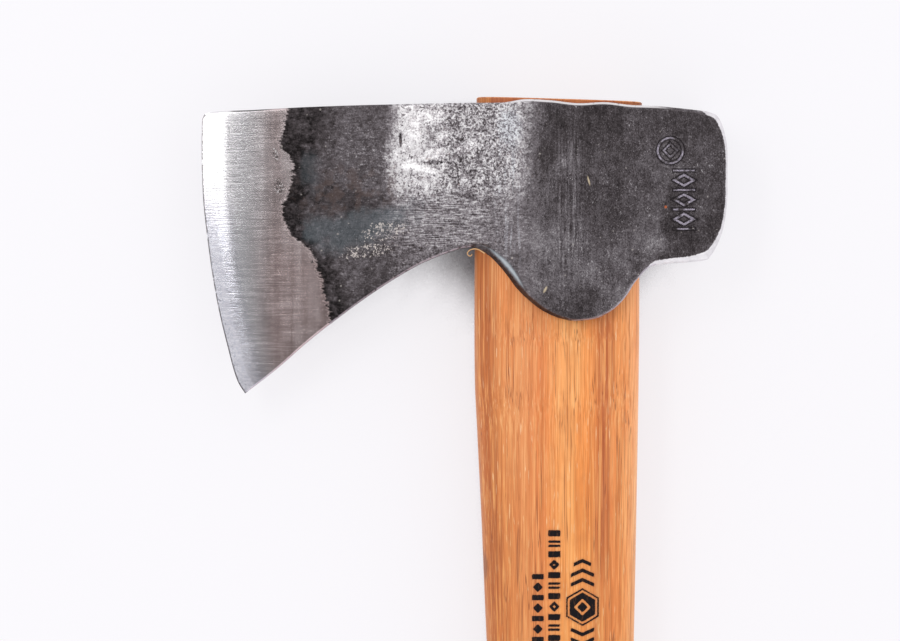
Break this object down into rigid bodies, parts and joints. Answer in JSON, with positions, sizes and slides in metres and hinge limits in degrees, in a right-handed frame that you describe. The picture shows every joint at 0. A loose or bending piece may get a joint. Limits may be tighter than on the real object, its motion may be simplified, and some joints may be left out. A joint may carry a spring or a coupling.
{
  "type": "carving hatchet",
  "caption": "Short wood-carving hatchet: forged bearded head with lugs and a square poll, hafted on a curved hickory handle with a wooden wedge and a steel staple.",
  "frame": {"origin": "centre of the whole hatchet's box, at its bottom, where the cheek of the head rests when the hatchet lies on its side", "axes": "+X from the cutting edge towards the poll, +Y along the handle from the knob to the head, +Z square to the flat of the blade"},
  "size_m": [0.1386, 0.3466, 0.0264],
  "materials": {
    "forged_steel": "black forge scale over the cheeks and poll, satin ground steel along the edge",
    "hickory": "sanded and oiled, straight grain",
    "wedge_wood": "sawn, lightly oiled end grain",
    "staple_steel": "cut strip steel, hammered flush"
  },
  "bodies": {
    "root": {"head": "forged_steel", "handle": "hickory", "wedge": "wedge_wood", "staple": "staple_steel"}
  },
  "joints": []
}
